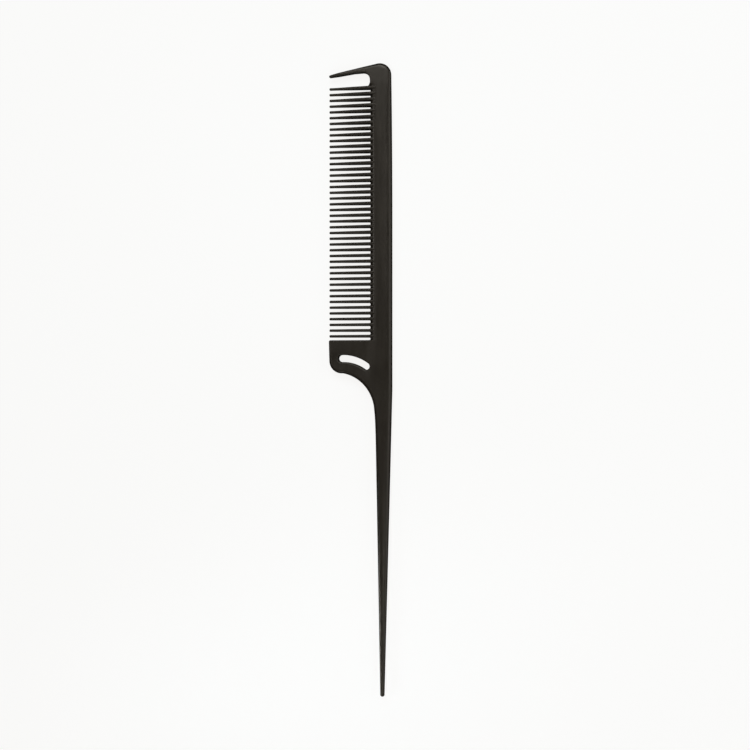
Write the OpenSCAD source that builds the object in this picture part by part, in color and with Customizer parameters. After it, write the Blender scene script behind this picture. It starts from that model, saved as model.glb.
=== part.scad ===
// Rat tail comb, lying flat, with its teeth towards -X and its tail towards -Y.
// The comb is one moulding. Each node below is a named region of it, and
// neighbouring regions meet face to face on plain parting planes.

/* [Overall] */
// Length from the head end to the point of the tail
comb_length = 230; // [225:1:240]
// Width from the tips of the teeth to the back of the spine
comb_width = 23.5; // [23:0.1:25]
// Thickness of the spine and the heel
comb_t = 3.8; // [3.4:0.1:4.4]

/* [Spine] */
// Width from the bottom of the gaps to the back
spine_w = 8.1; // [7.5:0.05:8.6]
// How far the back draws in between the heel and the head end
back_taper = 0.3; // [0.1:0.05:0.6]
// Width of the bevel that the roots of the teeth run up
bevel_w = 2.3; // [1.2:0.1:2.6]
// Thickness of the spine at the bottom of the gaps
gap_wall_t = 0.6; // [0.5:0.1:2]

/* [Fine teeth] */
// Number of fine teeth
tooth_count = 44; // [30:1:44]
// Distance from the first fine tooth to the last, centre to centre
teeth_span = 90.2; // [86:0.1:91]
// Distance from the head end to the centre of the first fine tooth
head_margin = 9.05; // [8.9:0.05:9.3]
// Width of a fine tooth at its root
tooth_root_w = 1.04; // [0.8:0.01:1.1]
// Width of a fine tooth at its rounded tip
tooth_tip_w = 0.94; // [0.6:0.01:1]
// Thickness of a fine tooth from its root to where it starts to thin
tooth_root_t = 3.2; // [2.6:0.1:3.4]
// Thickness of a fine tooth at its tip
tooth_tip_t = 0.7; // [0.5:0.1:1]
// Length over which a fine tooth thins towards its tip
tooth_thin_len = 9.5; // [7:0.5:11]
// Clear width between the last fine tooth and the heel
last_gap_w = 0.9; // [0.7:0.05:1.2]

/* [Guard tooth and parting gap] */
// Clear height of the parting gap at its root
parting_gap_h = 4.8; // [4.7:0.05:5]
// Radius of the gap's inner corner below the guard tooth
guard_fillet_r = 2.8; // [2:0.1:3]
// Radius of the gap's inner corner above the first fine tooth
tooth_fillet_r = 1.6; // [1.2:0.1:1.8]
// Width of the guard tooth near its rounded tip
guard_tip_w = 0.98; // [0.8:0.02:1.2]
// Thickness of the guard tooth at its tip
guard_tip_t = 1.4; // [1:0.1:2]
// Rise of the head's top edge for each millimetre towards the back
head_slope = 0.205; // [0.18:0.005:0.21]
// Radius of the corner between the head's top edge and the back
head_corner_r = 4.4; // [3.6:0.1:4.6]

/* [Heel and hang slot] */
// How far the heel's free side stands back from the tips of the teeth
heel_inset = 0.2; // [0:0.05:0.4]
// Radius of the heel's free corner
heel_corner_r = 4.6; // [4.2:0.1:5.2]
// Depth of the heel at its free corner
heel_depth = 12.1; // [11.4:0.05:12.4]
// Radius of the hollow that the index finger rests in, below the heel
hollow_r = 14.1; // [13.6:0.1:14.4]
// Width of the hang slot
slot_w = 2.55; // [2.2:0.05:2.8]
// Radius of the slot's curved centre line
slot_r = 15; // [14:0.1:16]
// Angles of the slot's two ends about the centre of its curve
slot_angles = [54, 91.8];

/* [Tail] */
// Width of the tail just below the neck
tail_top_w = 5.65; // [5:0.05:6]
// Width of the tail just above its rounded point
tail_end_w = 1.75; // [1.4:0.05:2]
// Thickness of the tail just above its rounded point
tail_end_t = 1.5; // [1.3:0.1:1.8]
// Diameter of the ball that the point ends in
point_d = 1.1; // [0.9:0.1:1.3]
// How far the tail's back edge leans in for each millimetre towards the point
tail_lean = 0.0262; // [0.025:0.0002:0.027]

/* [Hidden] */
$fn = 48;
half_w = comb_width / 2;
half_l = comb_length / 2;
mid_z = comb_t / 2;

// The bottom of the gaps, and the line where the bevel meets the spine's flat face
root_x = half_w - spine_w;
face_x = root_x + bevel_w;

// The fine teeth are numbered from the head end
pitch = teeth_span / (tooth_count - 1);
first_tooth_y = half_l - head_margin;
heel_top_y = first_tooth_y - teeth_span - tooth_root_w / 2 - last_gap_w;
function tooth_y(i) = first_tooth_y - (i - 1) * pitch;
function tooth_name(i) = str("tooth_", i < 10 ? "0" : "", i);

// The head end joins the spine in the middle of the first narrow gap
// Its top edge runs off the round corner in a straight line, down along the guard tooth
head_y = first_tooth_y - pitch / 2;
gap_low_y = first_tooth_y + tooth_root_w / 2;
gap_high_y = gap_low_y + parting_gap_h;
head_corner_c = [half_w - back_taper - head_corner_r, half_l - head_corner_r];
guard_root_x = root_x - guard_fillet_r - 0.3;
stub_x = root_x - 1.7;
head_tilt = atan(head_slope);
function head_top_y(x) = head_corner_c[1] + head_corner_r / cos(head_tilt) - head_slope * (head_corner_c[0] - x);
guard_tip_x = guard_tip_w / 2 - half_w;
guard_tip_c = [guard_tip_x, head_top_y(guard_tip_x) - guard_tip_w / 2];

// The heel's free corner, the finger hollow below it and the slot
heel_x = heel_inset - half_w;
heel_corner = [heel_x + heel_corner_r, heel_top_y - heel_depth + heel_corner_r];
hollow_c = [heel_corner[0] - 2.05, heel_corner[1] - heel_corner_r - 13.85];
slot_c = [-6.5, heel_top_y - 21.67];
function hollow_x(y) = hollow_c[0] + sqrt(hollow_r * hollow_r - pow(y - hollow_c[1], 2));

// Lengths of the handle: the neck, the long taper and the point
neck_y = heel_top_y - 18;
hollow_end_y = hollow_c[1] + 1.1;
tail_y = neck_y - 18;
point_y = 5 - half_l;

// Edges and thickness of the handle at a given Y
function along_tail(y) = (tail_y - y) / (tail_y - point_y);
function back_x(y) = half_w - tail_lean * (neck_y - y);
function handle_w(y) = tail_top_w + (tail_end_w - tail_top_w) * along_tail(y);
function ease(y) = 0.4 * exp((y - hollow_end_y) / 4);
function front_x(y) = y > hollow_end_y ? hollow_x(y) : back_x(y) - handle_w(y) - ease(y);
function handle_t(y) = y > tail_y ? comb_t : comb_t + (tail_end_t - comb_t) * along_tail(y);

fine_names = [for (i = [1 : tooth_count]) tooth_name(i)];

// Extrudes a shape drawn in X and Z along Y, from y0 up to y1
module along_y(y0, y1) {
    translate([0, y1, 0]) rotate([90, 0, 0]) linear_extrude(y1 - y0) children();
}

// Section of a bar with a full-round back at half_w and a square front
module round_back_section() {
    translate([half_w - mid_z, mid_z]) circle(d = comb_t);
    translate([-half_w, 0]) square([comb_width - mid_z, comb_t]);
}

// The long bar whose round back is the back of the spine, leaning in towards the head
module leaning_back() {
    spine_len = half_l - heel_top_y;
    translate([half_w, heel_top_y, 0])
        rotate([0, 0, atan(back_taper / spine_len)])
            translate([-half_w, 0, 0])
                along_y(-1, spine_len + 1) round_back_section();
}

// Section of the spine, bevelled on both faces down to the thin wall between the teeth
module spine_section() {
    polygon([
        [root_x, mid_z - gap_wall_t / 2],
        [face_x, 0],
        [half_w, 0],
        [half_w, comb_t],
        [face_x, comb_t],
        [root_x, mid_z + gap_wall_t / 2]
    ]);
}

// The stiff bar along the back of the comb, which the fine teeth stand on
module spine() {
    color([0.19, 0.175, 0.155])
        intersection() {
            along_y(heel_top_y, head_y) spine_section();
            leaning_back();
        }
}

// Points along an arc about a centre, from one angle to another
function arc(centre, r, from, to, steps = 12) =
    [for (k = [0 : steps]) let (a = from + (to - from) * k / steps) centre + r * [cos(a), sin(a)]];

// Outline of the head end: round corner, top edge, guard tooth's root, parting gap, first tooth's root
module head_outline() {
    tooth_low_y = first_tooth_y - tooth_root_w / 2;
    guard_fillet_c = [root_x - guard_fillet_r, gap_high_y - guard_fillet_r];
    tooth_fillet_c = [root_x - tooth_fillet_r, gap_low_y + tooth_fillet_r];
    polygon(concat(
        [[half_w, head_y]],
        arc(head_corner_c, head_corner_r, 0, 90 + head_tilt),
        [[guard_root_x, head_top_y(guard_root_x)], [guard_root_x, gap_high_y]],
        arc(guard_fillet_c, guard_fillet_r, 90, 0),
        arc(tooth_fillet_c, tooth_fillet_r, 0, -90),
        [[stub_x, gap_low_y], [stub_x, tooth_low_y], [root_x, tooth_low_y], [root_x, head_y]]
    ));
}

// The block at the top that carries the guard tooth and closes the parting gap
// Below the gap it has the spine's bevel, so that the first tooth starts like the others
module head_end() {
    color([0.24, 0.22, 0.2])
        intersection() {
            linear_extrude(comb_t) head_outline();
            leaning_back();
            union() {
                along_y(gap_low_y + tooth_fillet_r, half_l + 1) square([half_w, comb_t]);
                along_y(head_y, gap_low_y + tooth_fillet_r) {
                    spine_section();
                    translate([stub_x, mid_z - tooth_root_t / 2]) square([spine_w, tooth_root_t]);
                }
            }
        }
}

// The wide outer tooth, which slopes down from the head end to a narrow tip
module guard_tooth() {
    thin_x = guard_root_x - 7;
    color([0.24, 0.22, 0.2])
        intersection() {
            linear_extrude(comb_t) {
                translate(guard_tip_c) circle(d = guard_tip_w);
                polygon([
                    [guard_tip_c[0], guard_tip_c[1] - guard_tip_w / 2],
                    [guard_root_x - 3, gap_high_y],
                    [guard_root_x, gap_high_y],
                    [guard_root_x, head_top_y(guard_root_x)],
                    [guard_tip_c[0], guard_tip_c[1] + guard_tip_w / 2]
                ]);
            }
            along_y(gap_low_y, half_l) polygon([
                [-half_w, mid_z - guard_tip_t / 2],
                [thin_x, 0.3],
                [guard_root_x, 0],
                [guard_root_x, comb_t],
                [thin_x, comb_t - 0.3],
                [-half_w, mid_z + guard_tip_t / 2]
            ]);
        }
}

// Side view of a fine tooth: its root forks over the bevelled edge of the spine
module tooth_side() {
    tip_x = 0.1 - half_w;
    thin_x = tip_x + tooth_thin_len;
    polygon([
        [tip_x, mid_z - tooth_tip_t / 2],
        [thin_x, mid_z - tooth_root_t / 2],
        [root_x, mid_z - tooth_root_t / 2],
        [face_x, 0],
        [root_x, mid_z - gap_wall_t / 2],
        [root_x, mid_z + gap_wall_t / 2],
        [face_x, comb_t],
        [root_x, mid_z + tooth_root_t / 2],
        [thin_x, mid_z + tooth_root_t / 2],
        [tip_x, mid_z + tooth_tip_t / 2]
    ]);
}

// Outline of a fine tooth from above, centred on Y = 0
module tooth_outline() {
    tip_c = 0.1 - half_w + tooth_tip_w / 2;
    translate([tip_c, 0]) circle(d = tooth_tip_w);
    polygon([
        [tip_c, -tooth_tip_w / 2],
        [root_x, -tooth_root_w / 2],
        [face_x, -tooth_root_w / 2],
        [face_x, tooth_root_w / 2],
        [root_x, tooth_root_w / 2],
        [tip_c, tooth_tip_w / 2]
    ]);
}

// One fine tooth, numbered from the head end
// The first one springs from the stub on the head end, so it is that much shorter
module fine_tooth(i) {
    root_end = i == 1 ? stub_x : face_x;
    color([0.13, 0.12, 0.1])
        translate([0, tooth_y(i), 0])
            intersection() {
                linear_extrude(comb_t) intersection() {
                    tooth_outline();
                    translate([-half_w, -pitch]) square([half_w + root_end, 2 * pitch]);
                }
                along_y(-pitch, pitch) tooth_side();
            }
}

// Outline of the curved hang slot: outer edge, one round end, inner edge, other round end
module hang_slot() {
    a = slot_angles[0];
    b = slot_angles[1];
    end_a = slot_c + slot_r * [cos(a), sin(a)];
    end_b = slot_c + slot_r * [cos(b), sin(b)];
    half_slot = slot_w / 2;
    steps = 12;
    polygon(concat(
        arc(slot_c, slot_r + half_slot, a, b, steps),
        arc(end_b, half_slot, b + 180 / steps, b + 180, steps - 1),
        arc(slot_c, slot_r - half_slot, b - (b - a) / steps, a, steps - 1),
        arc(end_a, half_slot, a + 180 + 180 / steps, a + 360 - 180 / steps, steps - 2)
    ));
}

// Outline of the heel, with its round free corner and the finger hollow cut out of it
module heel_outline() {
    difference() {
        polygon(concat(
            arc(heel_corner, heel_corner_r, 180, 290),
            [[hollow_c[0], neck_y - 1], [half_w, neck_y - 1], [half_w, heel_top_y], [heel_x, heel_top_y]]
        ));
        translate(hollow_c) circle(r = hollow_r);
    }
}

// The wide plate between the teeth and the handle, with the hang slot through it
module heel() {
    color([0.175, 0.16, 0.135])
        intersection() {
            linear_extrude(comb_t) difference() {
                heel_outline();
                hang_slot();
            }
            along_y(neck_y, heel_top_y) round_back_section();
        }
}

// A thin round-edged slice of the handle between two values of Y, sized for the first
module handle_slice(y, y_to) {
    t = handle_t(y);
    left = front_x(y) + t / 2;
    right = back_x(y) - t / 2;
    along_y(min(y, y_to), max(y, y_to))
        hull() {
            translate([min(left, right), mid_z]) circle(d = t, $fn = 32);
            translate([max(left, right), mid_z]) circle(d = t, $fn = 32);
        }
}

// A straight length of the handle from y_high down to y_low
module handle_length(y_high, y_low) {
    slice = 0.01;
    hull() {
        handle_slice(y_high, y_high - slice);
        handle_slice(y_low, y_low + slice);
    }
}

// The stretch where the finger hollow runs out into the handle
module neck() {
    steps = 5;
    function station(k) = neck_y + (tail_y - neck_y) * pow(k / steps, 1.2);
    color([0.155, 0.145, 0.12])
        for (k = [1 : steps])
            handle_length(station(k - 1), station(k));
}

// The long tapering tail that parts the hair
module tail() {
    color([0.19, 0.18, 0.16])
        handle_length(tail_y, point_y);
}

// The blunt round point of the tail
module tail_point() {
    ball_y = point_d / 2 - half_l;
    centre_x = (front_x(point_y) + back_x(point_y)) / 2;
    color([0.22, 0.205, 0.19])
        hull() {
            handle_slice(point_y, point_y - 0.01);
            translate([centre_x, ball_y, mid_z]) sphere(d = point_d, $fn = 24);
        }
}

spine();
head_end();
guard_tooth();
for (i = [1 : tooth_count])
    fine_tooth(i);
heel();
neck();
tail();
tail_point();
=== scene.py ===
"""Rat tail comb: the looks of a one-piece black carbon-resin moulding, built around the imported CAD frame.

All shapes are worked out in millimetres, in the frame's own axes, and turned into metres as meshes are made.
The body of the comb is one smooth surface, which is computed whole and then cut into one closed piece for
each CAD region, so that the pieces meet without a seam. The teeth are separate lofted pieces.
"""

import math

import bpy
import numpy as np
from mathutils import Matrix, Vector
from mathutils.geometry import delaunay_2d_cdt


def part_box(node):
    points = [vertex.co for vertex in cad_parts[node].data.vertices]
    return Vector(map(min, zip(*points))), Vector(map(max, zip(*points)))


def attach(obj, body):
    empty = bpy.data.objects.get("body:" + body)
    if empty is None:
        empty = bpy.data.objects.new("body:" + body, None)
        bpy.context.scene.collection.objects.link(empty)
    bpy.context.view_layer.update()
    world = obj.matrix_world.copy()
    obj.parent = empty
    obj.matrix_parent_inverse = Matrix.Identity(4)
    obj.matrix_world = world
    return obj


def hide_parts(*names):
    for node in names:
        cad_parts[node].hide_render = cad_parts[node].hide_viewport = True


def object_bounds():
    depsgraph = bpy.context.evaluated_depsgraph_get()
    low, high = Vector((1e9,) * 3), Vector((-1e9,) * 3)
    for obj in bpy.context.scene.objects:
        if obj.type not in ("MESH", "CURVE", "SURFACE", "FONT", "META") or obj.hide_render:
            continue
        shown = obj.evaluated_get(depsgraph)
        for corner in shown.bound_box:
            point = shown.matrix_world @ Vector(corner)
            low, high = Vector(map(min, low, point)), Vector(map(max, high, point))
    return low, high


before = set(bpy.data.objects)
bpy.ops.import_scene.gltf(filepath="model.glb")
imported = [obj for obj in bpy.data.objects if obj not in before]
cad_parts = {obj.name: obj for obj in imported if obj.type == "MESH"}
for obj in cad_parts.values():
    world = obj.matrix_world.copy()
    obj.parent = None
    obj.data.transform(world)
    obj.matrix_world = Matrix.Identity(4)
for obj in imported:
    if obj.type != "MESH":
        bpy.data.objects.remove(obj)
cad_low, cad_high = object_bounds()

MM = 0.001


# ---------------------------------------------------------------- places taken from the frame


def node_box(node):
    """Lowest and highest corner of a CAD node, in millimetres."""
    low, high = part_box(node)
    return np.array(low) / MM, np.array(high) / MM


TEETH = sorted(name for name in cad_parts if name.startswith("tooth_"))
LOW, HIGH = np.array(cad_low) / MM, np.array(cad_high) / MM
TIP_X, BACK_X = LOW[0], HIGH[0]
POINT_Y, HEAD_Y = LOW[1], HIGH[1]
MID_Z = (LOW[2] + HIGH[2]) / 2
HALF_T = (HIGH[2] - LOW[2]) / 2

ROOT_X = node_box("spine")[0][0]
HEEL_TOP_Y = node_box("heel")[1][1]
HEEL_X = node_box("heel")[0][0]
NECK_Y = node_box("heel")[0][1]
TAIL_Y = node_box("tail")[1][1]
GUARD_ROOT_X = node_box("guard_tooth")[1][0]
TOOTH_Y = [float(sum(box[1] for box in node_box(name)) / 2) for name in TEETH]
TOOTH_HALF_W = float(node_box(TEETH[1])[1][1] - node_box(TEETH[1])[0][1]) / 2
FIRST_TOP_Y = TOOTH_Y[0] + TOOTH_HALF_W

# Bevel along the roots of the teeth: steep at the bottom of the gaps, easing into the spine's face
BEVEL_W = 2.3
BEVEL_POWER = 3.0
WALL_HALF_T = 0.3
BEVEL_FADE_HEAD_W = 1.6
BEVEL_FADE_HEEL_W = 0.4
FACE_X = ROOT_X + BEVEL_W
GAP_CORNER_R = 0.45

# Crown of the faces: round towards the back, with a slight fall towards the teeth that fades at both ends
CREST_X = 7.2
CROWN_R = 13.0
FRONT_FALL = 0.15
FRONT_FALL_W = 4.0
FALL_FADE_HEEL_W = 14.0
FALL_FADE_HEAD_W = 6.0
FALL_FADE_GUARD_W = 3.0
HEAD_THIN_Y = 90.0
HEAD_THIN_R = 420.0

# Head end, guard tooth and parting gap
HEAD_CORNER_R = 4.4
HEAD_SLOPE = 0.205
HEAD_INSET = 0.25
PARTING_GAP_H = 4.8
GUARD_RISE = 0.15
GUARD_SAG = 0.14
GUARD_SAG_X = GUARD_ROOT_X - 3.0
GUARD_FILLET_R = 2.8
GUARD_TIP_R = 0.49
GUARD_TIP_END_DEG = 276
GUARD_THINNING = 1.2
GUARD_THIN_POWER = 2.2
TOOTH_FILLET_R = 1.6
WALL_HIDDEN_DEPTH = 0.08
GAP_HIGH_Y = FIRST_TOP_Y + PARTING_GAP_H
GAP_MID_Y = FIRST_TOP_Y + PARTING_GAP_H / 2
WALL_LOW_Y = FIRST_TOP_Y + TOOTH_FILLET_R

# Heel, hang slot and finger hollow
HEEL_DEPTH = 12.1
HEEL_CORNER_R = 4.6
HEEL_TIP_R = 0.6
HEEL_TOP_EASE = 1.0
HEEL_CORNER = np.array([HEEL_X + HEEL_CORNER_R, HEEL_TOP_Y - HEEL_DEPTH + HEEL_CORNER_R])
DISH_DEPTH = 0.28
DISH_RISE_W = 5.0
DISH_HIGH_Y = HEEL_TOP_Y - 3.2
DISH_HIGH_W = 4.0
DISH_LOW_Y = NECK_Y + 1.0
DISH_LOW_W = 6.0
DISH_END_X = 5.0
DISH_END_W = 5.0
HOLLOW_R = 14.1
HOLLOW_SHIFT = 2.05
HOLLOW_DROP = 13.85
HOLLOW = HEEL_CORNER - np.array([HOLLOW_SHIFT, HEEL_CORNER_R + HOLLOW_DROP])
HOLLOW_END_Y = HOLLOW[1] + 1.1
SLOT_CENTRE = np.array([-6.5, HEEL_TOP_Y - 21.67])
SLOT_R = 15.0
SLOT_HALF_W = 1.275
SLOT_ANGLES = (54.0, 91.8)

# Back edge and handle
BACK_BOW_Y = 58.0
BACK_BOW = 0.00014
TAIL_LEAN = 0.0262
TAIL_TOP_W = 5.65
TAIL_END_W = 1.75
TAIL_END_T = 1.5
NECK_EASE = 0.4
NECK_EASE_LEN = 4.0
NECK_ROUNDING_LEN = 11.0
OVAL_POWER = 2.3
OVAL_START_Y = NECK_Y - 4.0
OVAL_FADE_LEN = 24.0
POINT_LEN = 5.0
POINT_ROUND = 0.65

# How steeply the handle's wear grows towards its sides
HANDLE_WEAR = 2.2

# Radii of the rounded edges
FULL_ROUND = HALF_T
HEAD_EDGE_R = 1.2
GUARD_EDGE_R = 0.8
GAP_END_EDGE_R = 0.45
GUARD_TIP_EDGE_R = 0.45
GAP_WALL_EDGE_R = 0.25
HEEL_TOP_EDGE_R = 0.4
HEEL_SIDE_EDGE_R = 1.3
SLOT_EDGE_R = 0.5


# ---------------------------------------------------------------- outline of the comb's body


def smoothstep(t):
    t = np.clip(t, 0.0, 1.0)
    return t * t * (3 - 2 * t)


def along_tail(y):
    """How far down the tail a place is: 0 at its top and 1 where the point starts."""
    return (TAIL_Y - y) / (TAIL_Y - POINT_Y - POINT_LEN)


def back_x(y):
    """The back edge: it draws in towards the head end and leans in along the tail."""
    bow = BACK_BOW * np.maximum(0.0, y - BACK_BOW_Y) ** 2
    lean = TAIL_LEAN * np.maximum(0.0, NECK_Y - y)
    return BACK_X - bow - lean


def front_x(y):
    """The front edge of the handle: the finger hollow, which eases into the tail's straight taper."""
    across = np.maximum(0.0, HOLLOW_R**2 - (y - HOLLOW[1]) ** 2)
    hollow = HOLLOW[0] + np.sqrt(across)
    width = TAIL_TOP_W + (TAIL_END_W - TAIL_TOP_W) * along_tail(y)
    taper = back_x(y) - width - NECK_EASE * np.exp((y - HOLLOW_END_Y) / NECK_EASE_LEN)
    return np.where(y > HOLLOW_END_Y, hollow, taper)


HEAD_TILT = math.atan(HEAD_SLOPE)
HEAD_CORNER_Y = HEAD_Y - HEAD_INSET - HEAD_CORNER_R
HEAD_CORNER = np.array([float(back_x(HEAD_CORNER_Y)) - HEAD_CORNER_R, HEAD_CORNER_Y])


def head_top_y(x):
    """The head's straight top edge, which runs off its round corner and down along the guard tooth."""
    return HEAD_CORNER_Y + HEAD_CORNER_R / math.cos(HEAD_TILT) - HEAD_SLOPE * (HEAD_CORNER[0] - x)


GUARD_TIP_X = TIP_X + GUARD_TIP_R
GUARD_TIP = np.array([GUARD_TIP_X, float(head_top_y(GUARD_TIP_X)) - GUARD_TIP_R / math.cos(HEAD_TILT)])


class Chain:
    """A line of points along an edge of the comb, each with the radius of the edge's rounding there."""

    def __init__(self, closed=False):
        self.points, self.radii = [], []
        self.closed = closed

    def add(self, x, y, edge_r):
        new = np.array([float(x), float(y)])
        if not self.points or np.hypot(*(new - self.points[-1])) > 1e-4:
            self.points.append(new)
            self.radii.append(float(edge_r))

    def line(self, end, edge_r, step=1.0):
        """Straight on to a point, while the edge's radius changes evenly."""
        start, start_r = self.points[-1], self.radii[-1]
        count = max(1, math.ceil(math.dist(start, end) / step))
        for k in range(1, count + 1):
            at = start + (np.array(end) - start) * k / count
            self.add(*at, start_r + (edge_r - start_r) * k / count)

    def arc(self, centre, radius, from_deg, to_deg, edge_r, step_deg=7.5):
        """Round an arc, while the edge's radius changes evenly."""
        start_r = self.radii[-1] if self.radii else edge_r
        count = max(2, math.ceil(abs(to_deg - from_deg) / step_deg))
        for k in range(count + 1):
            a = math.radians(from_deg + (to_deg - from_deg) * k / count)
            at = (centre[0] + radius * math.cos(a), centre[1] + radius * math.sin(a))
            self.add(*at, start_r + (edge_r - start_r) * k / count)


def circles_meet(centre_a, radius_a, centre_b, radius_b):
    """The meeting point of two circles that lies furthest to +X."""
    offset = centre_b - centre_a
    gap = np.hypot(*offset)
    along = (gap**2 + radius_a**2 - radius_b**2) / (2 * gap)
    across = math.sqrt(radius_a**2 - along**2)
    unit = offset / gap
    normal = np.array([-unit[1], unit[0]])
    meets = [centre_a + unit * along + normal * across * side for side in (1, -1)]
    return max(meets, key=lambda p: p[0])


def degrees_about(centre, point):
    """Angle from +X of a point seen from a centre."""
    return math.degrees(math.atan2(point[1] - centre[1], point[0] - centre[0]))


def direction(degrees):
    """Unit vector at an angle from +X."""
    return np.array([math.cos(math.radians(degrees)), math.sin(math.radians(degrees))])


def handle_front_r(y):
    """Radius of the handle's front edge: it grows from the heel's to a full round."""
    share = smoothstep((NECK_Y - y) / NECK_ROUNDING_LEN)
    return HEEL_SIDE_EDGE_R + (FULL_ROUND - HEEL_SIDE_EDGE_R) * share


OUTLINE_END_Y = NECK_Y - 6.0


def trace_back_and_head(c):
    """Up the back from below the neck, and round the head end to the start of the guard tooth's tip."""
    for y in np.linspace(OUTLINE_END_Y, NECK_Y, 4):
        c.add(back_x(y), y, FULL_ROUND)
    for y in np.linspace(NECK_Y, HEAD_CORNER_Y, 60):
        c.add(back_x(y), y, FULL_ROUND)
    c.arc(HEAD_CORNER, HEAD_CORNER_R, 0, 90, FULL_ROUND, step_deg=5)
    c.arc(HEAD_CORNER, HEAD_CORNER_R, 90, 90 + math.degrees(HEAD_TILT), HEAD_EDGE_R, step_deg=4)
    c.line((GUARD_ROOT_X, head_top_y(GUARD_ROOT_X)), GUARD_EDGE_R)
    tip_start = GUARD_TIP + GUARD_TIP_R * np.array([-math.sin(HEAD_TILT), math.cos(HEAD_TILT)])
    c.line(tip_start, GUARD_TIP_EDGE_R, step=0.6)


def trace_parting_gap(c):
    """Round the guard tooth's tip, back along its lower side and down the end of the parting gap."""
    tip_start_deg = 90 + math.degrees(HEAD_TILT)
    c.arc(GUARD_TIP, GUARD_TIP_R, tip_start_deg, GUARD_TIP_END_DEG, GUARD_TIP_EDGE_R, step_deg=10)
    c.line((GUARD_SAG_X, GAP_HIGH_Y - GUARD_SAG + GUARD_RISE), GAP_END_EDGE_R, step=0.6)
    guard_fillet = (ROOT_X - GUARD_FILLET_R, GAP_HIGH_Y - GUARD_FILLET_R + GUARD_RISE)
    c.line((guard_fillet[0], GAP_HIGH_Y + GUARD_RISE), GAP_END_EDGE_R, step=0.6)
    c.arc(guard_fillet, GUARD_FILLET_R, 90, 0, GAP_END_EDGE_R)
    c.line((ROOT_X, WALL_LOW_Y), GAP_END_EDGE_R, step=0.5)
    c.arc((ROOT_X - TOOTH_FILLET_R, WALL_LOW_Y), TOOTH_FILLET_R, 0, -90, GAP_WALL_EDGE_R)
    hidden_y = TOOTH_Y[0] - TOOTH_HALF_W + WALL_HIDDEN_DEPTH
    c.line((ROOT_X - TOOTH_FILLET_R, hidden_y), GAP_WALL_EDGE_R, step=0.3)
    c.line((ROOT_X - GAP_CORNER_R, hidden_y), GAP_WALL_EDGE_R, step=0.3)


def trace_gap_bottoms(c):
    """Down the round-cornered bottoms of the gaps between the teeth, on to the heel's top edge."""
    corner_x = ROOT_X - GAP_CORNER_R
    gap_lows = [tooth_y + TOOTH_HALF_W for tooth_y in TOOTH_Y[1:]] + [HEEL_TOP_Y]
    for tooth_y, gap_low in zip(TOOTH_Y, gap_lows):
        gap_high = tooth_y - TOOTH_HALF_W
        c.line((corner_x, gap_high), GAP_WALL_EDGE_R, step=0.3)
        c.arc((corner_x, gap_high - GAP_CORNER_R), GAP_CORNER_R, 90, 0, GAP_WALL_EDGE_R, step_deg=18)
        c.arc((corner_x, gap_low + GAP_CORNER_R), GAP_CORNER_R, 0, -90, GAP_WALL_EDGE_R, step_deg=18)
    c.line((corner_x - HEEL_TOP_EASE, HEEL_TOP_Y), HEEL_TOP_EDGE_R, step=0.25)


def trace_heel(c):
    """Round the heel's free side, and along the finger hollow to below the neck."""
    heel_tip = (HEEL_X + HEEL_TIP_R, HEEL_TOP_Y - HEEL_TIP_R)
    c.line((heel_tip[0], HEEL_TOP_Y), HEEL_TOP_EDGE_R, step=0.7)
    c.arc(heel_tip, HEEL_TIP_R, 90, 180, HEEL_TOP_EDGE_R, step_deg=15)
    c.line((HEEL_X, HEEL_CORNER[1]), HEEL_SIDE_EDGE_R, step=0.7)
    junction = circles_meet(HEEL_CORNER, HEEL_CORNER_R, HOLLOW, HOLLOW_R)
    corner_end = degrees_about(HEEL_CORNER, junction) % 360
    c.arc(HEEL_CORNER, HEEL_CORNER_R, 180, corner_end, HEEL_SIDE_EDGE_R, step_deg=5)
    hollow_start = degrees_about(HOLLOW, junction)
    hollow_end = degrees_about(HOLLOW, (float(front_x(NECK_Y)), NECK_Y))
    c.arc(HOLLOW, HOLLOW_R, hollow_start, hollow_end, HEEL_SIDE_EDGE_R, step_deg=2.5)
    for y in np.linspace(NECK_Y, OUTLINE_END_Y, 12)[1:]:
        c.add(front_x(y), y, handle_front_r(y))


def body_outline():
    """The body's outer edge, counter-clockwise from below the neck, with the material on its left."""
    c = Chain()
    trace_back_and_head(c)
    trace_parting_gap(c)
    trace_gap_bottoms(c)
    trace_heel(c)
    return c


def slot_outline():
    """The hang slot's edge, clockwise, so that the material is on its left as it is on the body's outline."""
    c = Chain(closed=True)
    start, end = SLOT_ANGLES
    c.arc(SLOT_CENTRE, SLOT_R + SLOT_HALF_W, end, start, SLOT_EDGE_R, step_deg=3)
    right_end = SLOT_CENTRE + SLOT_R * direction(start)
    c.arc(right_end, SLOT_HALF_W, start, start - 180, SLOT_EDGE_R, step_deg=12)
    c.arc(SLOT_CENTRE, SLOT_R - SLOT_HALF_W, start, end, SLOT_EDGE_R, step_deg=3)
    left_end = SLOT_CENTRE + SLOT_R * direction(end)
    c.arc(left_end, SLOT_HALF_W, end + 180, end, SLOT_EDGE_R, step_deg=12)
    if math.dist(c.points[0], c.points[-1]) < 1e-3:
        c.points.pop()
        c.radii.pop()
    return c


# ---------------------------------------------------------------- height of the body's surface


def crown(x, y):
    """How far the gently crowned face falls away from its crest, which runs along the spine."""
    off_crest = x - CREST_X
    fall_back = off_crest**2 / (2 * CROWN_R)
    past_heel = smoothstep((y - HEEL_TOP_Y + FALL_FADE_HEEL_W) / FALL_FADE_HEEL_W)
    below_head = smoothstep((FIRST_TOP_Y + FALL_FADE_HEAD_W / 2 - y) / FALL_FADE_HEAD_W)
    off_guard = smoothstep((x - GUARD_ROOT_X) / FALL_FADE_GUARD_W)
    fall_front = FRONT_FALL * smoothstep(-off_crest / FRONT_FALL_W) * (past_heel * below_head) * off_guard
    across = np.where(off_crest > 0, fall_back, fall_front)
    return across + np.maximum(0.0, y - HEAD_THIN_Y) ** 2 / (2 * HEAD_THIN_R)


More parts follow.
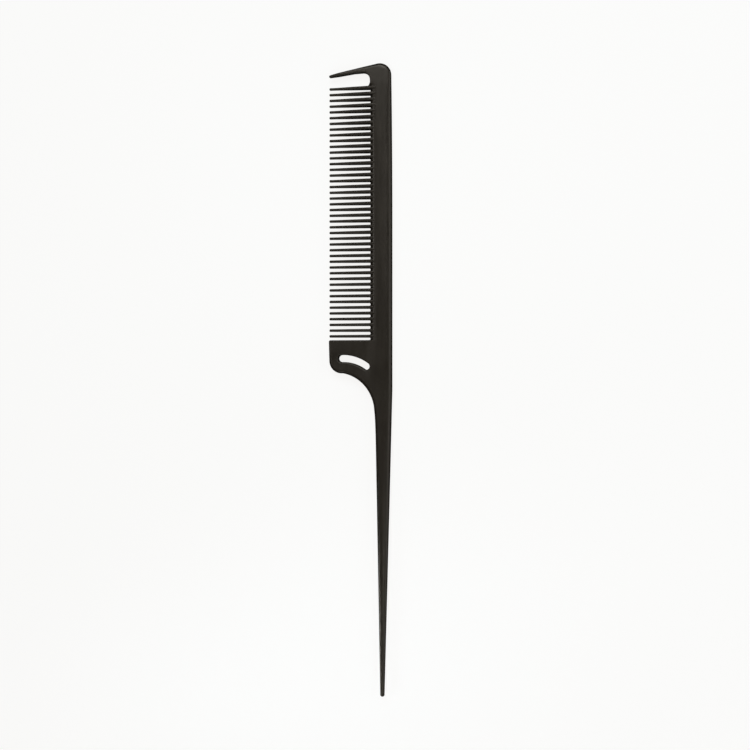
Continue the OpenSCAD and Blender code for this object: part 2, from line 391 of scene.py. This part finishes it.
def heel_dish(x, y):
    """Depth of the shallow dish round the slot in the heel's face; it rises again to the free edges."""
    from_corner = np.hypot(x - HEEL_CORNER[0], y - HEEL_CORNER[1])
    in_corner = (x < HEEL_CORNER[0]) & (y < HEEL_CORNER[1])
    from_edge = np.minimum(x - HEEL_X, np.hypot(x - HOLLOW[0], y - HOLLOW[1]) - HOLLOW_R)
    from_edge = np.where(in_corner, HEEL_CORNER_R - from_corner, from_edge)
    rise = (1 - np.clip(from_edge / DISH_RISE_W, 0.0, 1.0)) ** 2
    round_slot = smoothstep((DISH_HIGH_Y - y) / DISH_HIGH_W) * smoothstep((y - DISH_LOW_Y) / DISH_LOW_W)
    off_spine = smoothstep((DISH_END_X - x) / DISH_END_W)
    return DISH_DEPTH * (1 - rise) * round_slot * off_spine


def face_height(x, y):
    """Half the body's thickness inside its rounded edges: bevelled at the teeth, thinner along the guard."""
    crest = HALF_T - crown(x, y)
    share = np.clip((x - ROOT_X) / BEVEL_W, 0.0, 1.0)
    bevel = WALL_HALF_T + (crest - WALL_HALF_T) * (1 - (1 - share) ** BEVEL_POWER)
    into_head = smoothstep((y - TOOTH_Y[0]) / BEVEL_FADE_HEAD_W)
    into_heel = smoothstep((HEEL_TOP_Y + BEVEL_FADE_HEEL_W / 2 - y) / BEVEL_FADE_HEEL_W)
    height = bevel + (crest - bevel) * np.maximum(into_head, into_heel)
    out = np.clip((GUARD_ROOT_X - x) / (GUARD_ROOT_X - TIP_X), 0.0, 1.0)
    guard = HALF_T - GUARD_THINNING * out**GUARD_THIN_POWER
    height = np.where(y > GAP_MID_Y, np.minimum(height, guard), height)
    return height - heel_dish(x, y)


def nearest_on(chains, points):
    """Distance from each point to the nearest of the chains' edges, and the edge's rounding radius there."""
    best = np.full(len(points), np.inf)
    radius = np.zeros(len(points))
    batch = 1000
    for chain in chains:
        a, ra = np.array(chain.points), np.array(chain.radii)
        b, rb = np.roll(a, -1, axis=0), np.roll(ra, -1)
        if not chain.closed:
            a, b, ra, rb = a[:-1], b[:-1], ra[:-1], rb[:-1]
        d = b - a
        for start in range(0, len(points), batch):
            part = slice(start, start + batch)
            q = points[part, None, :]
            t = np.clip(((q - a) * d).sum(2) / np.maximum((d * d).sum(1), 1e-12), 0, 1)
            gap = np.linalg.norm(q - (a + t[:, :, None] * d), axis=2)
            k = gap.argmin(1)
            rows = np.arange(len(k))
            here = gap[rows, k]
            r_here = ra[k] + (rb[k] - ra[k]) * t[rows, k]
            closer = here < best[part]
            best[part] = np.where(closer, here, best[part])
            radius[part] = np.where(closer, r_here, radius[part])
    return best, radius


def rounded(height, radius, distance):
    """Height of a face with a quarter-round edge, at some distance in from that edge."""
    left = np.clip(radius - distance, 0.0, None)
    return height - radius + np.sqrt(np.maximum(radius**2 - left**2, 0.0))


# ---------------------------------------------------------------- the body's sheet of triangles

# Rings of points along the edges: at these angles round the rounding, then further in
RING_ANGLES = (0, 12, 26, 41, 57, 74, 90)
LAST_RING_GAP = 0.12
HEEL_RING_GAPS = (0.7, 1.4, 2.1)
MITRE_LIMIT = 0.35

# Lines of points along the bevel, at shares of its width, and across its end at the heel's top
BEVEL_SHARES = (0.13, 0.2, 0.28, 0.37, 0.48, 0.6, 0.75, 0.9, 1.0, 1.1)
BEVEL_STEP = 0.45
HEEL_TOP_LINES = (-0.3, -0.15, 0.0, 0.15, 0.3)
HEEL_TOP_STEP = 0.2

# Points across the middle of the handle, at shares of the width between its two roundings
HANDLE_SHARES = (0.15, 0.38, 0.62, 0.85)


def inset(chain, share_of_r, extra=0.0):
    """The chain's points moved in from its edge by a share of the local rounding radius, and some more."""
    p = np.array(chain.points)
    if chain.closed:
        before, after = np.roll(p, 1, axis=0), np.roll(p, -1, axis=0)
    else:
        before = np.vstack([p[:1] * 2 - p[1:2], p[:-1]])
        after = np.vstack([p[1:], p[-1:] * 2 - p[-2:-1]])
    e1, e2 = p - before, after - p
    e1 /= np.linalg.norm(e1, axis=1)[:, None]
    e2 /= np.linalg.norm(e2, axis=1)[:, None]
    n1 = np.stack([-e1[:, 1], e1[:, 0]], 1)
    n2 = np.stack([-e2[:, 1], e2[:, 0]], 1)
    mitre = (n1 + n2) / np.maximum(1 + (n1 * n2).sum(1), MITRE_LIMIT)[:, None]
    depth = np.array(chain.radii) * share_of_r + extra
    return p + mitre * depth[:, None]


def inside(points, polygon):
    """Which points lie in a polygon."""
    x, y = points[:, 0], points[:, 1]
    hit = np.zeros(len(points), bool)
    px, py = polygon[:, 0], polygon[:, 1]
    qx, qy = np.roll(px, -1), np.roll(py, -1)
    for x0, y0, x1, y1 in zip(px, py, qx, qy):
        if y0 != y1:
            hit ^= ((y0 > y) != (y1 > y)) & (x < (x1 - x0) * (y - y0) / (y1 - y0) + x0)
    return hit


class Planform:
    """Points and fixed edges for the triangulation of the body's face."""

    def __init__(self):
        self.points, self.edges = [], []

    def path(self, points, closed=False):
        first = len(self.points)
        self.points.extend(tuple(map(float, p)) for p in points)
        count = len(points)
        self.edges.extend((first + k, first + k + 1) for k in range(count - 1))
        if closed:
            self.edges.append((first + count - 1, first))


def handle_station(y):
    """X of the handle's points across its face at one Y, from its front edge to its back edge."""
    angles = np.radians(RING_ANGLES)
    front_r = float(handle_front_r(y))
    t = handle_half_t(y)
    depth = front_r * (1 - np.cos(angles))
    if y > HOLLOW_END_Y:
        front = HOLLOW[0] + np.sqrt((HOLLOW_R + depth) ** 2 - (y - HOLLOW[1]) ** 2)
    else:
        scale = min(1.0, t / front_r)
        front = float(front_x(y)) + depth * scale
    back = float(back_x(y)) - t * (1 - np.cos(angles))
    left, right = front[-1], back[-1]
    if left > right:
        # The two roundings would overlap, so both are drawn in to meet
        squeeze = (left + right) / 2
        front = front[0] + (front - front[0]) * (squeeze - front[0]) / (left - front[0])
        back = back[0] + (back - back[0]) * (back[0] - squeeze) / (back[0] - right)
        left = right = squeeze
    middle = left + (right - left) * np.array(HANDLE_SHARES)
    return np.concatenate([front, middle, back[::-1]])


def handle_half_t(y):
    """Half the thickness of the handle."""
    share = max(0.0, float(along_tail(y)))
    return HALF_T + (TAIL_END_T / 2 - HALF_T) * share


def handle_height(x, y):
    """Half the handle's thickness at points across it: flat-faced at the neck, oval along the tail."""
    t = handle_half_t(y)
    front_r = float(handle_front_r(y))
    if y > HOLLOW_END_Y:
        from_front = np.hypot(x - HOLLOW[0], y - HOLLOW[1]) - HOLLOW_R
    else:
        front_r = min(front_r, t)
        from_front = x - float(front_x(y))
    from_back = float(back_x(y)) - x
    face = t - crown(x + BACK_X - float(back_x(y)), y)
    flat_sided = np.minimum(
        rounded(face, np.minimum(front_r, face), np.maximum(from_front, 0)),
        rounded(face, face, np.maximum(from_back, 0)),
    )
    left, right = float(front_x(y)), float(back_x(y))
    across = np.clip(np.abs((x - (left + right) / 2) / ((right - left) / 2)), 0, 1)
    oval = t * (1 - across**OVAL_POWER) ** (1 / OVAL_POWER)
    share = float(smoothstep((OVAL_START_Y - y) / OVAL_FADE_LEN))
    return flat_sided + (oval - flat_sided) * share


def body_plan(outline, slot):
    """The body's planform: rings along its edges, lines along the bevel and the seams between its regions."""
    plan = Planform()
    for chain in (outline, slot):
        for angle in RING_ANGLES:
            plan.path(inset(chain, 1 - math.cos(math.radians(angle))), chain.closed)
        plan.path(inset(chain, 1.0, LAST_RING_GAP), chain.closed)
    heel_side = [k for k, (x, y) in enumerate(outline.points) if x < ROOT_X + 1 and y < HEEL_TOP_Y - 1]
    for extra in HEEL_RING_GAPS:
        plan.path(inset(outline, 1.0, extra)[heel_side])
    for share in BEVEL_SHARES:
        x = ROOT_X + BEVEL_W * share
        plan.path([(x, y) for y in np.arange(HEEL_TOP_Y - 0.6, WALL_LOW_Y + 0.4, BEVEL_STEP)])
    for y in HEEL_TOP_LINES:
        plan.path([(x, HEEL_TOP_Y + y) for x in np.arange(ROOT_X - 0.2, FACE_X + 0.3, HEEL_TOP_STEP)])
    # The seams end outside the body
    past_back = BACK_X + 1
    plan.path([(GUARD_ROOT_X, y) for y in np.linspace(GAP_HIGH_Y - 0.5, HEAD_Y, 16)])
    plan.path([(x, WALL_LOW_Y) for x in np.linspace(ROOT_X - 0.5, past_back, 24)])
    plan.path([(x, HEEL_TOP_Y) for x in np.linspace(ROOT_X - GAP_CORNER_R, past_back, 24)])
    station = handle_station(NECK_Y)
    plan.path([(station[0] - 1, NECK_Y), *((x, NECK_Y) for x in station), (past_back, NECK_Y)])
    return plan


def on_neck_line(points):
    """Which points lie on the line where the body's face and the handle's rows meet."""
    return np.abs(points[:, 1] - NECK_Y) < 1e-5


def body_sheet():
    """Points, heights and triangles of the body's face above its mid-plane, from the head end to the neck."""
    outline, slot = body_outline(), slot_outline()
    plan = body_plan(outline, slot)
    found, _, faces, *_ = delaunay_2d_cdt(plan.points, plan.edges, [], 0, 1e-4)
    points = np.array([tuple(v) for v in found])
    triangles = np.array([f for f in faces if len(f) == 3])
    centres = points[triangles].mean(1)
    in_outline, in_slot = (inside(centres, np.array(chain.points)) for chain in (outline, slot))
    triangles = triangles[in_outline & ~in_slot & (centres[:, 1] > NECK_Y)]
    used, triangles = np.unique(triangles, return_inverse=True)
    triangles = triangles.reshape(-1, 3)
    points = points[used]
    a, b, c = (points[triangles[:, k]] for k in range(3))
    area = np.cross(b - a, c - a)
    triangles[area < 0] = triangles[area < 0][:, ::-1]

    distance, radius = nearest_on((outline, slot), points)
    face = face_height(points[:, 0], points[:, 1])
    radius = np.minimum(radius, face)
    height = rounded(face, radius, distance)
    edge = np.clip(1 - distance / np.maximum(radius, 1e-6), 0, 1)
    at_neck = on_neck_line(points)
    height[at_neck] = handle_height(points[at_neck, 0], NECK_Y)
    return points, height, edge, triangles


# ---------------------------------------------------------------- the handle's sheet, and the whole body


def handle_rows():
    """Y of the handle's stations: even along the neck and tail, closer together round the point."""
    neck = np.linspace(NECK_Y, TAIL_Y, 19)
    tail = np.linspace(TAIL_Y, POINT_Y + POINT_LEN, 56)
    point = np.linspace(POINT_Y + POINT_LEN, POINT_Y + POINT_ROUND, 8)
    angles = np.radians(np.linspace(90, 4, 10))
    end = POINT_Y + POINT_ROUND - POINT_ROUND * np.cos(angles)
    return np.concatenate([neck, tail[1:], point[1:], end[1:]])


def handle_row(y):
    """Points and heights across the handle at one Y, drawn in to nothing round the point."""
    x = handle_station(y)
    height = handle_height(x, y)
    into_point = POINT_Y + POINT_ROUND - y
    if into_point > 0:
        scale = math.sqrt(max(0.0, 1 - (into_point / POINT_ROUND) ** 2))
        middle = (x[0] + x[-1]) / 2
        x = middle + (x - middle) * scale
        height = height * scale
    return x, height


def zip_rows(upper, lower, upper_x, lower_x):
    """Triangles between two rows of points, numbered from front to back; the upper row has the higher Y."""
    upper_share = (upper_x - upper_x[0]) / (upper_x[-1] - upper_x[0])
    lower_share = (lower_x - lower_x[0]) / (lower_x[-1] - lower_x[0])
    i = j = 0
    made = []
    while i < len(upper) - 1 or j < len(lower) - 1:
        lower_done = j == len(lower) - 1
        if lower_done or (i < len(upper) - 1 and upper_share[i + 1] <= lower_share[j + 1]):
            made.append((upper[i], lower[j], upper[i + 1]))
            i += 1
        else:
            made.append((upper[i], lower[j], lower[j + 1]))
            j += 1
    return made


def whole_body():
    """The sheet of the whole body: points, heights, closeness to an edge and triangles."""
    points, height, edge, triangles = body_sheet()
    row = np.where(on_neck_line(points))[0]
    row = row[np.argsort(points[row, 0])]
    row_x = points[row, 0]
    count = len(points)
    points, height, edge, triangles = [points], [height], [edge], [triangles]
    for y in handle_rows()[1:]:
        new_x, new_height = handle_row(y)
        new_row = np.arange(count, count + len(new_x))
        across = np.abs(np.linspace(-1, 1, len(new_x)))
        points.append(np.stack([new_x, np.full(len(new_x), y)], 1))
        height.append(new_height)
        edge.append(np.clip(across * HANDLE_WEAR - (HANDLE_WEAR - 1), 0, 1))
        triangles.append(np.array(zip_rows(row, new_row, row_x, new_x)))
        count += len(new_x)
        row, row_x = new_row, new_x
    return np.vstack(points), np.concatenate(height), np.concatenate(edge), np.vstack(triangles)


# Below this height the top and the bottom share their points
SHARED_HEIGHT = 1e-4


def open_edges(triangles):
    """Directed edges of some triangles that no neighbour among them shares."""
    directed = {(t[k], t[(k + 1) % 3]) for t in triangles.tolist() for k in range(3)}
    return sorted(e for e in directed if (e[1], e[0]) not in directed)


class Body:
    """The whole body as a closed surface about its mid-plane, with smooth normals, ready to be cut up.

    Its triangles lie on the top, and the bottom mirrors it: bottom points are numbered on from the top ones.
    """

    def __init__(self):
        plan, height, edge, self.triangles = whole_body()
        self.height = np.where(height < SHARED_HEIGHT, 0.0, height)
        self.count = len(plan)
        top = np.column_stack([plan, MID_Z + self.height])
        bottom = np.column_stack([plan, MID_Z - self.height])
        self.points = np.vstack([top, bottom])
        self.edge = np.concatenate([edge, edge])
        self.free_edges = set(open_edges(self.triangles))
        self.normals = self.smooth_normals()

    def shell(self, triangles, kept):
        """Faces of a closed piece: some triangles with their mirror images, free walls and cut faces."""
        low = {v: v + self.count if self.height[v] > 0 else v for v in kept}
        faces = [tuple(t) for t in triangles.tolist()]
        faces += [(low[c], low[b], low[a]) for a, b, c in triangles.tolist()]
        walls, cuts = [], []
        for a, b in open_edges(triangles):
            ring = [low[a], low[b], b, a]
            wall = tuple(v for k, v in enumerate(ring) if v != ring[k - 1])
            if len(wall) > 2:
                (walls if (a, b) in self.free_edges else cuts).append(wall)
        return faces, walls, cuts

    def smooth_normals(self):
        """Normals averaged by angle over the whole body, so that pieces match where they meet."""
        at = self.points
        faces, walls, _ = self.shell(self.triangles, range(self.count))
        normals = np.zeros_like(at)
        for group in (faces, [w for w in walls if len(w) == 3], [w for w in walls if len(w) == 4]):
            if not group:
                continue
            f = np.array(group)
            sides = f.shape[1]
            flat = np.cross(at[f[:, 1]] - at[f[:, 0]], at[f[:, 2]] - at[f[:, 0]])
            flat /= np.maximum(np.linalg.norm(flat, axis=1), 1e-15)[:, None]
            for k in range(sides):
                to_next = at[f[:, (k + 1) % sides]] - at[f[:, k]]
                to_last = at[f[:, k - 1]] - at[f[:, k]]
                dot = (to_next * to_last).sum(1)
                size = np.linalg.norm(to_next, axis=1) * np.linalg.norm(to_last, axis=1)
                angle = np.arccos(np.clip(dot / np.maximum(size, 1e-15), -1, 1))
                np.add.at(normals, f[:, k], flat * angle[:, None])
        return normals / np.maximum(np.linalg.norm(normals, axis=1), 1e-12)[:, None]

    def piece(self, name, chosen, nodes):
        """A closed piece made of the chosen triangles."""
        triangles = self.triangles[chosen]
        kept = np.unique(triangles)
        faces, walls, cuts = self.shell(triangles, kept.tolist())
        used = sorted({v for f in faces + walls + cuts for v in f})
        index = {v: k for k, v in enumerate(used)}
        smooth = [tuple(index[v] for v in f) for f in faces + walls]
        flat = [tuple(index[v] for v in f) for f in cuts]
        make_piece(name, self.points[used], smooth, flat, self.edge[used], nodes, self.normals[used])


def make_piece(name, points, smooth, flat, edge, nodes, normals=None):
    """A mesh object from points in millimetres, which rides on the comb and stands for its CAD nodes.

    Given normals count on the smooth faces only; the flat ones, where the body was cut, keep their own.
    """
    mesh = bpy.data.meshes.new(name)
    mesh.from_pydata((np.array(points) * MM).tolist(), [], smooth + flat)
    mesh.polygons.foreach_set("use_smooth", [True] * len(smooth) + [False] * len(flat))
    attribute = mesh.attributes.new("edge", "FLOAT", "POINT")
    attribute.data.foreach_set("value", np.array(edge, np.float32))
    if normals is not None:
        mesh.update()
        loops = np.empty(len(mesh.loops), np.int32)
        mesh.loops.foreach_get("vertex_index", loops)
        split = normals[loops]
        for polygon in mesh.polygons[len(smooth):]:
            split[polygon.loop_start : polygon.loop_start + polygon.loop_total] = tuple(polygon.normal)
        mesh.normals_split_custom_set(split.tolist())
    mesh.materials.append(RESIN)
    mesh.validate()
    piece = bpy.data.objects.new(name, mesh)
    bpy.context.scene.collection.objects.link(piece)
    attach(piece, "root")
    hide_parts(*nodes)


def make_body():
    """The body's pieces, one for each CAD region."""
    body = Body()
    x, y, _ = body.points[body.triangles].mean(1).T
    handle = y < NECK_Y
    heel = ~handle & (y < HEEL_TOP_Y)
    guard = (x < GUARD_ROOT_X) & (y > GAP_MID_Y)
    head = (y > WALL_LOW_Y) & ~guard
    regions = {
        "guard_tooth": guard,
        "head_end": head,
        "spine": ~handle & ~heel & ~guard & ~head,
        "heel": heel,
        "neck": handle & (y > TAIL_Y),
        "tail": (y < TAIL_Y) & (y > POINT_Y + POINT_LEN),
        "tail_point": y < POINT_Y + POINT_LEN,
    }
    for node, chosen in regions.items():
        body.piece(f"resin_{node}", chosen, [node])


# ---------------------------------------------------------------- fine teeth

TOOTH_TIP_X = TIP_X + 0.05
TOOTH_TIP_HALF_T = 0.33
TOOTH_ROOT_HALF_T = 1.35
SWELL_X = -10.1
SWELL_LEN = 9.2
SWELL_SHARE = 0.45
WEDGE_X = -9.3
WEDGE_LEN = 7.6
ROOT_RISE = 0.43
ROOT_RISE_W = 5.6
TOOTH_TIP_HALF_W = 0.475
TOOTH_DOME = 0.4
TOOTH_EDGE_R = 0.27
TOOTH_EDGE_LIMIT = 0.9
TOOTH_CORNER_STEPS = 5
RIDGE_END_X = FACE_X - 0.02


def tooth_half_t(x):
    """Half the thickness of a tooth: a slim tip, a long wedge, and a stout root that runs level."""
    swell = smoothstep((x - SWELL_X) / SWELL_LEN)
    wedge = np.clip((x - WEDGE_X) / WEDGE_LEN, 0, 1)
    share = swell * SWELL_SHARE + wedge * (1 - SWELL_SHARE)
    rise = ROOT_RISE * smoothstep((x - ROOT_X + ROOT_RISE_W) / ROOT_RISE_W)
    return TOOTH_TIP_HALF_T + (TOOTH_ROOT_HALF_T - TOOTH_TIP_HALF_T) * share + rise


def tooth_half_w(x):
    """Half the width of a tooth, which widens evenly towards its root."""
    share = np.clip((x - TOOTH_TIP_X) / (ROOT_X - GAP_CORNER_R - TOOTH_TIP_X), 0, 1)
    return TOOTH_TIP_HALF_W + (TOOTH_HALF_W - TOOTH_TIP_HALF_W) * share


def tooth_stations():
    """X of a tooth's sections, from its domed tip to where its ridge has sunk into the spine's face."""
    tip = TOOTH_TIP_X + TOOTH_DOME * (1 - np.cos(np.radians(np.linspace(8, 90, 7))))
    blade = np.linspace(TOOTH_TIP_X + TOOTH_DOME, ROOT_X - GAP_CORNER_R, 26)
    ridge = np.linspace(ROOT_X - GAP_CORNER_R, RIDGE_END_X, 10)
    return np.concatenate([tip, blade[1:], ridge[1:]])


def tooth_section(half_w, half_t):
    """Points round one section of a tooth, a rectangle with well rounded corners."""
    r = min(TOOTH_EDGE_R, half_w * TOOTH_EDGE_LIMIT, half_t * TOOTH_EDGE_LIMIT)
    corners = []
    for turn, (side_y, side_z) in enumerate([(1, 1), (-1, 1), (-1, -1), (1, -1)]):
        for a in np.radians(np.linspace(0, 90, TOOTH_CORNER_STEPS)) + turn * np.pi / 2:
            y = side_y * (half_w - r) + r * math.cos(a)
            z = side_z * (half_t - r) + r * math.sin(a)
            corners.append((y, z))
    return corners


def make_tooth(node, middle_y):
    """One fine tooth, lofted along X from rounded sections, with a domed tip."""
    stations = tooth_stations()
    sides = 4 * TOOTH_CORNER_STEPS
    points, edge = [], []
    for x in stations:
        in_tip = max(0.0, TOOTH_TIP_X + TOOTH_DOME - x) / TOOTH_DOME
        scale = math.sqrt(1 - in_tip**2)
        for y, z in tooth_section(tooth_half_w(x) * scale, tooth_half_t(x) * scale):
            points.append((x, middle_y + y, MID_Z + z))
            edge.append(in_tip)
    faces = []
    for first in range(0, (len(stations) - 1) * sides, sides):
        for k in range(sides):
            n = (k + 1) % sides
            faces.append((first + k, first + n, first + sides + n, first + sides + k))
    points.append((TOOTH_TIP_X, middle_y, MID_Z))
    edge.append(1.0)
    faces += [(len(points) - 1, (k + 1) % sides, k) for k in range(sides)]
    root = tuple((len(stations) - 1) * sides + k for k in range(sides))
    make_piece(f"resin_{node}", points, faces, [root], edge, [node])


# ---------------------------------------------------------------- materials


def shader_nodes(name):
    """A new material, with its node tree and its main shader."""
    material = bpy.data.materials.new(name)
    material.use_nodes = True
    tree = material.node_tree
    return material, tree, tree.nodes["Principled BSDF"]


def noise(tree, where, scale, detail):
    """The value of a noise texture at some coordinates."""
    node = tree.nodes.new("ShaderNodeTexNoise")
    node.inputs["Scale"].default_value = scale
    node.inputs["Detail"].default_value = detail
    tree.links.new(where, node.inputs["Vector"])
    return node.outputs["Fac"]


def combine(tree, operation, a, b):
    """The sum or product of two values."""
    node = tree.nodes.new("ShaderNodeMath")
    node.operation = operation
    tree.links.new(a, node.inputs[0])
    tree.links.new(b, node.inputs[1])
    return node.outputs["Value"]


def map_range(tree, value, limits):
    """A value taken from one range to another; limits that are not given are 0 and 1."""
    node = tree.nodes.new("ShaderNodeMapRange")
    for socket, number in limits.items():
        node.inputs[socket].default_value = number
    tree.links.new(value, node.inputs["Value"])
    return node.outputs["Result"]


def make_resin():
    """Black carbon-filled resin, satin as moulded: fine grain, faint flow streaks and slightly worn edges."""
    material, tree, shader = shader_nodes("carbon_resin")
    new, link = tree.nodes.new, tree.links.new
    where = new("ShaderNodeTexCoord").outputs["Object"]

    stretched = new("ShaderNodeMapping")
    stretched.inputs["Scale"].default_value = (900, 60, 900)
    link(where, stretched.inputs["Vector"])
    flow = noise(tree, stretched.outputs["Vector"], 1.0, 4.0)
    cloud = noise(tree, where, 90.0, 3.0)
    grain = noise(tree, where, 5200.0, 2.0)
    mottle = map_range(tree, combine(tree, "ADD", flow, cloud), {"From Min": 0.7, "From Max": 1.3})

    colour = new("ShaderNodeValToRGB")
    colour.color_ramp.elements[0].color = (0.0195, 0.0165, 0.0124, 1)
    colour.color_ramp.elements[1].color = (0.0258, 0.0219, 0.0167, 1)
    link(mottle, colour.inputs["Fac"])

    edge = new("ShaderNodeAttribute")
    edge.attribute_name = "edge"
    mix = new("ShaderNodeMix")
    mix.data_type = "RGBA"
    mix.inputs["B"].default_value = (0.026, 0.023, 0.019, 1)
    link(combine(tree, "MULTIPLY", edge.outputs["Fac"], cloud), mix.inputs["Factor"])
    link(colour.outputs["Color"], mix.inputs["A"])
    link(mix.outputs["Result"], shader.inputs["Base Color"])

    roughness = map_range(tree, mottle, {"To Min": 0.32, "To Max": 0.42})
    link(roughness, shader.inputs["Roughness"])

    bump = new("ShaderNodeBump")
    bump.inputs["Strength"].default_value = 0.25
    bump.inputs["Distance"].default_value = 0.00004
    link(grain, bump.inputs["Height"])
    link(bump.outputs["Normal"], shader.inputs["Normal"])
    shader.inputs["Specular IOR Level"].default_value = 0.5
    return material


def make_paper():
    """White studio floor: it glows, so that the comb's shadow on it stays faint and warm."""
    material, _, shader = shader_nodes("white_sweep")
    shader.inputs["Base Color"].default_value = (0.13, 0.16, 0.19, 1)
    shader.inputs["Roughness"].default_value = 0.9
    shader.inputs["Specular IOR Level"].default_value = 0.0
    shader.inputs["Emission Color"].default_value = (1.0, 0.9877, 0.97, 1)
    shader.inputs["Emission Strength"].default_value = 0.892
    return material


# ---------------------------------------------------------------- studio

# The view, in degrees and millimetres
VIEW_TILT = 12.0
VIEW_DISTANCE = 544.6
VIEW_CENTRE = (5.32, 1.65)
LENS = 72.0
SENSOR_W = 36.0

# Half the floor's width, in metres
FLOOR_HALF = 8.0

WORLD_STRENGTH = 0.016
WARM = (1.0, 0.95, 0.87)

# Each light's name, place, aim and size in metres, its power, and how wide it throws in degrees
LIGHTS = (
    ("head_box", (0.0, 0.62, 0.7), (0.0, 0.05, 0.0), (0.7, 0.4), 3.4, 180),
    ("tail_box", (0.0, -0.78, 0.66), (0.0, -0.05, 0.0), (0.7, 0.5), 1.8, 180),
    ("right_box", (0.6, 0.0, 0.3), (0.0, 0.0, 0.0), (0.9, 0.35), 1.35, 180),
    ("tail_spot", (-0.3, -0.17, 0.14), (0.002, -0.108, 0.0), (0.06, 0.06), 0.008, 24),
    ("tail_glow", (0.1, -0.15, 0.5), (0.002, -0.095, 0.0), (0.08, 0.08), 0.0028, 20),
    ("heel_glow", (-0.22, 0.03, 0.5), (-0.004, 0.01, 0.0), (0.06, 0.06), 0.0003, 10),
    ("spine_glow", (-0.43, 0.13, 0.42), (0.0, 0.07, 0.0), (0.2, 0.05), 0.0068, 22),
    ("back_glow", (0.09, 0.075, 0.61), (0.0, 0.075, 0.0), (0.06, 0.12), 0.001, 14),
)


def make_camera():
    """Looks down on the comb, which fills the picture upright, from a little towards its back."""
    tilt = math.radians(VIEW_TILT)
    away = Vector((math.sin(tilt), 0.0, math.cos(tilt)))
    target = Vector((VIEW_CENTRE[0], VIEW_CENTRE[1], MID_Z)) * MM
    data = bpy.data.cameras.new("camera")
    data.lens = LENS
    data.sensor_width = SENSOR_W
    data.clip_start, data.clip_end = 0.01, 10.0
    camera = bpy.data.objects.new("camera", data)
    across = Vector((math.cos(tilt), 0.0, -math.sin(tilt)))
    up = Vector((0.0, 1.0, 0.0))
    turn = Matrix((across, up, away)).transposed()
    camera.matrix_world = Matrix.Translation(target + away * VIEW_DISTANCE * MM) @ turn.to_4x4()
    bpy.context.scene.collection.objects.link(camera)
    bpy.context.scene.camera = camera


def make_light(name, place, aim, size, power, spread):
    """A rectangular area light."""
    data = bpy.data.lights.new(name, "AREA")
    data.shape = "RECTANGLE"
    data.size, data.size_y = size
    data.energy = power
    data.color = WARM
    data.spread = math.radians(spread)
    lamp = bpy.data.objects.new(name, data)
    lamp.location = place
    lamp.rotation_euler = (Vector(aim) - Vector(place)).to_track_quat("-Z", "Y").to_euler()
    bpy.context.scene.collection.objects.link(lamp)


def make_floor():
    """A flat floor that shows in the view only: the resin neither mirrors it nor takes light from it."""
    mesh = bpy.data.meshes.new("floor")
    corners = [(x * FLOOR_HALF, y * FLOOR_HALF, 0) for x, y in ((-1, -1), (1, -1), (1, 1), (-1, 1))]
    mesh.from_pydata(corners, [], [(0, 1, 2, 3)])
    mesh.materials.append(make_paper())
    floor = bpy.data.objects.new("floor", mesh)
    bpy.context.scene.collection.objects.link(floor)
    floor.visible_glossy = False
    floor.visible_diffuse = False


def make_studio():
    """A dim world, a glowing floor and the lights: three soft boxes and five small ones for highlights."""
    scene = bpy.context.scene
    scene.view_settings.view_transform = "Standard"
    world = bpy.data.worlds.new("studio")
    world.use_nodes = True
    background = world.node_tree.nodes["Background"]
    background.inputs["Color"].default_value = (1, 1, 1, 1)
    background.inputs["Strength"].default_value = WORLD_STRENGTH
    scene.world = world
    make_floor()
    for light in LIGHTS:
        make_light(*light)


RESIN = make_resin()
make_body()
for tooth, tooth_y in zip(TEETH, TOOTH_Y):
    make_tooth(tooth, tooth_y)
make_camera()
make_studio()
